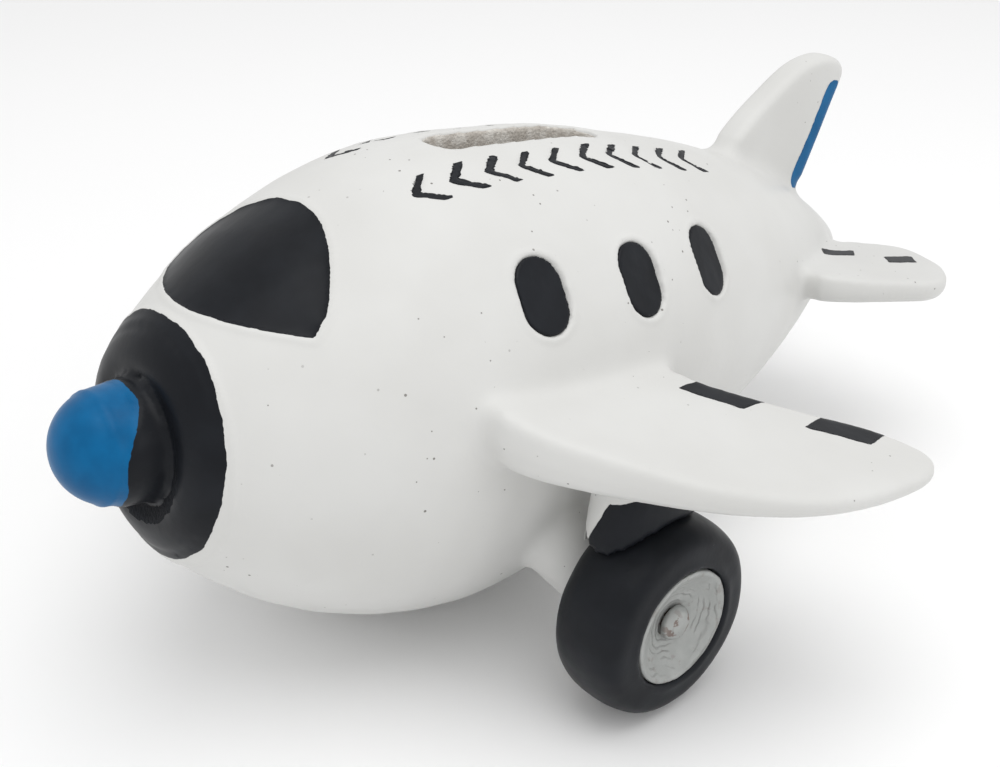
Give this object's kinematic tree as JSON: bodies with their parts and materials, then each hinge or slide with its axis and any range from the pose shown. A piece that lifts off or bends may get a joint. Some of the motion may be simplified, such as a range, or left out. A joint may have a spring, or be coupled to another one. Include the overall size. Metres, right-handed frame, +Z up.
{
  "type": "toy airplane money box",
  "caption": "Plump toy airplane money box: hollow cast body with coin slot and belly stopper, thick drooped wings, tail, nose ball and fat wheels.",
  "frame": {"origin": "middle of the bounding box at ground level, with the aircraft standing on its two wheels and tail foot", "axes": "+Z up from the ground; -Y toward the nose; +X toward the port wing tip"},
  "size_m": [0.1524, 0.18, 0.0806],
  "materials": {
    "white_paint": "hand-painted gloss white over cast resin",
    "black_paint": "hand-painted satin black with ragged edges",
    "blue_paint": "hand-painted gloss blue",
    "silver_paint": "brushed-on silver paint with worn patches",
    "tyre_paint": "satin black paint over cast resin",
    "stopper": "soft dark plug"
  },
  "bodies": {
    "airframe": {"fuselage_shell": "white_paint", "nose_cowl": "black_paint", "nose_ball": "blue_paint", "windshield": "black_paint", "window_port_front": "black_paint", "window_port_middle": "black_paint", "window_port_rear": "black_paint", "window_starboard_front": "black_paint", "window_starboard_middle": "black_paint", "window_starboard_rear": "black_paint", "flank_marks_port": "black_paint", "flank_marks_starboard": "black_paint", "wing_port": "white_paint", "wing_starboard": "white_paint", "wing_mark_port_inner": "black_paint", "wing_mark_port_outer": "black_paint", "wing_mark_starboard_inner": "black_paint", "wing_mark_starboard_outer": "black_paint", "tailplane_port": "white_paint", "tailplane_starboard": "white_paint", "tailplane_mark_port_inner": "black_paint", "tailplane_mark_port_outer": "black_paint", "tailplane_mark_starboard_inner": "black_paint", "tailplane_mark_starboard_outer": "black_paint", "fin": "white_paint", "fin_stripe_port": "blue_paint", "fin_stripe_starboard": "blue_paint", "leg_port": "white_paint", "leg_starboard": "white_paint", "pylon_port": "white_paint", "pylon_starboard": "white_paint", "axle_pin_port": "silver_paint", "axle_pin_starboard": "silver_paint", "tail_foot": "white_paint"},
    "wheel_port": {"tyre_port": "tyre_paint", "hub_port": "silver_paint"},
    "wheel_starboard": {"tyre_starboard": "tyre_paint", "hub_starboard": "silver_paint"},
    "stopper": {"belly_stopper": "stopper"}
  },
  "joints": [
    {"name": "wheel_port_spin", "type": "hinge", "parent": "airframe", "child": "wheel_port", "pos_m": [0.0496, -0.01949, 0.01662], "axis": [1, 0, 0], "continuous": true},
    {"name": "wheel_starboard_spin", "type": "hinge", "parent": "airframe", "child": "wheel_starboard", "pos_m": [-0.0496, -0.01949, 0.01662], "axis": [1, 0, 0], "continuous": true},
    {"name": "stopper_pull", "type": "slide", "parent": "airframe", "child": "stopper", "axis": [0, 0.1771, -0.9842], "range_m": [0, 0.01]}
  ]
}
